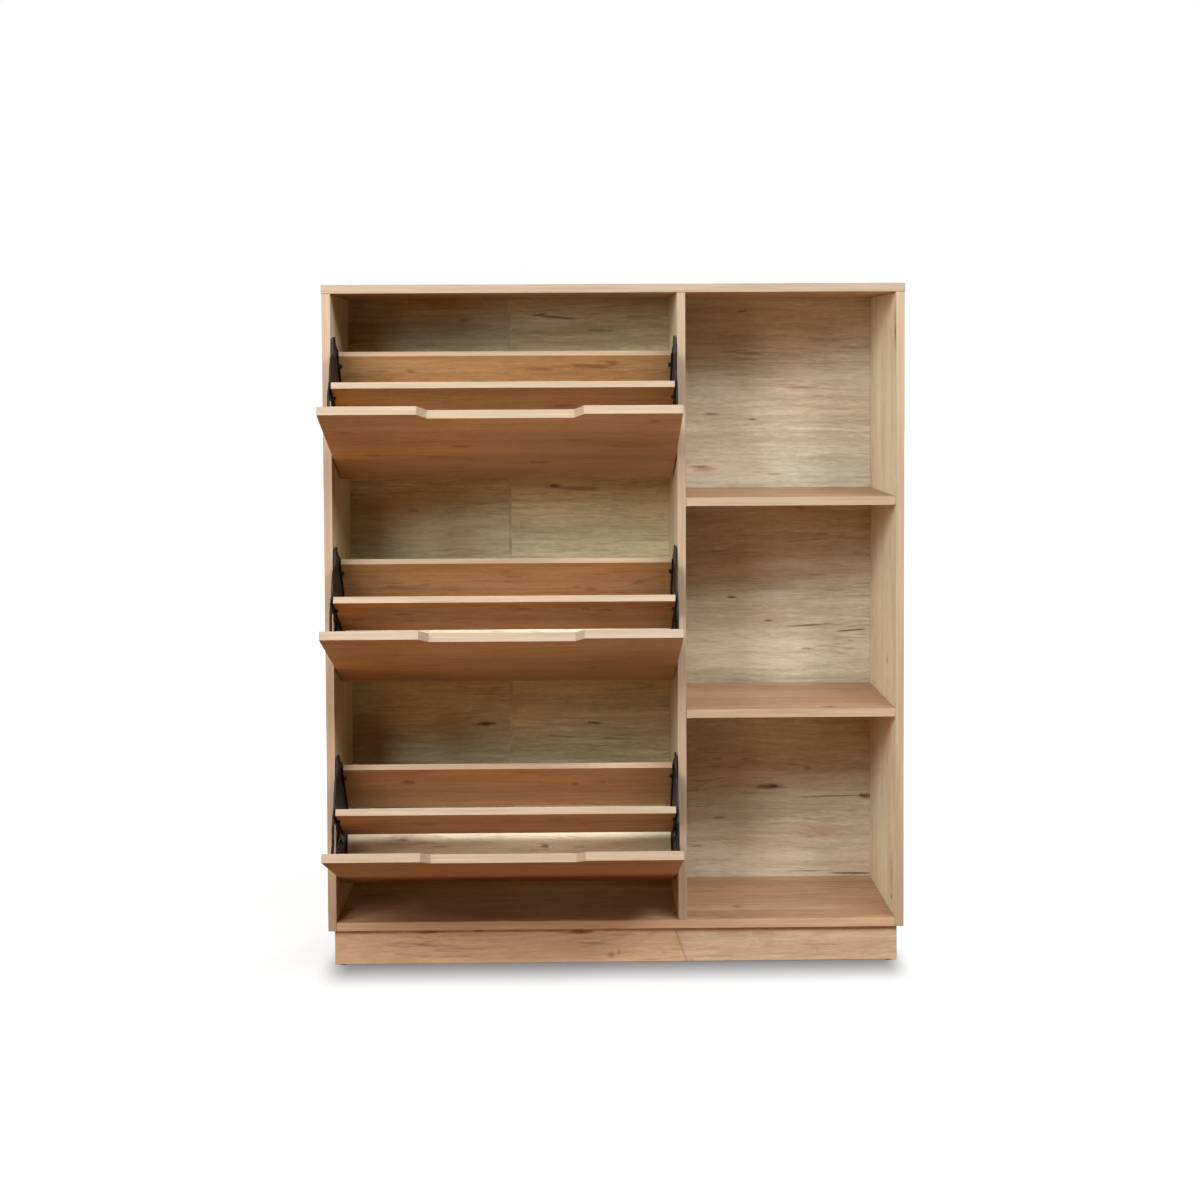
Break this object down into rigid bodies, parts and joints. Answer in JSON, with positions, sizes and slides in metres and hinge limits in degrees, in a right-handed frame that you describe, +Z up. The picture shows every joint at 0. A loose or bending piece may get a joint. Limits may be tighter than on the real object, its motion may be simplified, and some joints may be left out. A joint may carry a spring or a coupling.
{
  "type": "shoe cabinet",
  "caption": "Tall wood shoe cabinet on a recessed plinth: tilt-out two-tier shoe racks with notched flap doors on the left, open shelves on the right.",
  "frame": {"origin": "centre of the bounding box's footprint, on the floor, with the three racks tilted open", "axes": "+Z up; the open front and the tilting doors face -Y; +X runs to the right seen from the front, from the rack bay to the shelf bay"},
  "size_m": [1.022, 0.5204, 1.205],
  "materials": {
    "oak_board": "satin",
    "oak_back_panel": "satin",
    "joint_strip": "matte",
    "black_plastic": "satin",
    "dark_steel": "satin"
  },
  "bodies": {
    "cabinet": {"top_panel": "oak_board", "side_panel_left": "oak_board", "side_panel_right": "oak_board", "divider_panel": "oak_board", "bottom_panel": "oak_board", "shelf_upper": "oak_board", "shelf_lower": "oak_board", "back_panel_left": "oak_back_panel", "back_panel_middle": "oak_back_panel", "back_panel_right": "oak_back_panel", "back_joint_strip": "joint_strip", "plinth_front": "oak_board", "plinth_rear": "oak_board", "plinth_end_left": "oak_board", "plinth_end_right": "oak_board", "plinth_cross": "oak_board", "glide_front_left": "black_plastic", "glide_front_right": "black_plastic", "glide_rear_left": "black_plastic", "glide_rear_right": "black_plastic", "pivot_plate_1_left": "dark_steel", "pivot_plate_1_right": "dark_steel", "pivot_plate_2_left": "dark_steel", "pivot_plate_2_right": "dark_steel", "pivot_plate_3_left": "dark_steel", "pivot_plate_3_right": "dark_steel"},
    "rack_1": {"rack_1_door": "oak_board", "rack_1_mid_board": "oak_board", "rack_1_rear_board": "oak_board", "rack_1_floor_board": "oak_board", "rack_1_frame_left": "black_plastic", "rack_1_frame_right": "black_plastic"},
    "rack_2": {"rack_2_door": "oak_board", "rack_2_mid_board": "oak_board", "rack_2_rear_board": "oak_board", "rack_2_floor_board": "oak_board", "rack_2_frame_left": "black_plastic", "rack_2_frame_right": "black_plastic"},
    "rack_3": {"rack_3_door": "oak_board", "rack_3_mid_board": "oak_board", "rack_3_rear_board": "oak_board", "rack_3_floor_board": "oak_board", "rack_3_frame_left": "black_plastic", "rack_3_frame_right": "black_plastic"}
  },
  "joints": [
    {"name": "rack_1_tilt", "type": "hinge", "parent": "cabinet", "child": "rack_1", "pos_m": [-0.1925, -0.00368, 0.928], "axis": [-1, 0, 0], "range_deg": [0, 70]},
    {"name": "rack_2_tilt", "type": "hinge", "parent": "cabinet", "child": "rack_2", "pos_m": [-0.1925, -0.00368, 0.558], "axis": [-1, 0, 0], "range_deg": [0, 70]},
    {"name": "rack_3_tilt", "type": "hinge", "parent": "cabinet", "child": "rack_3", "pos_m": [-0.1925, -0.00368, 0.188], "axis": [-1, 0, 0], "range_deg": [0, 70]}
  ]
}
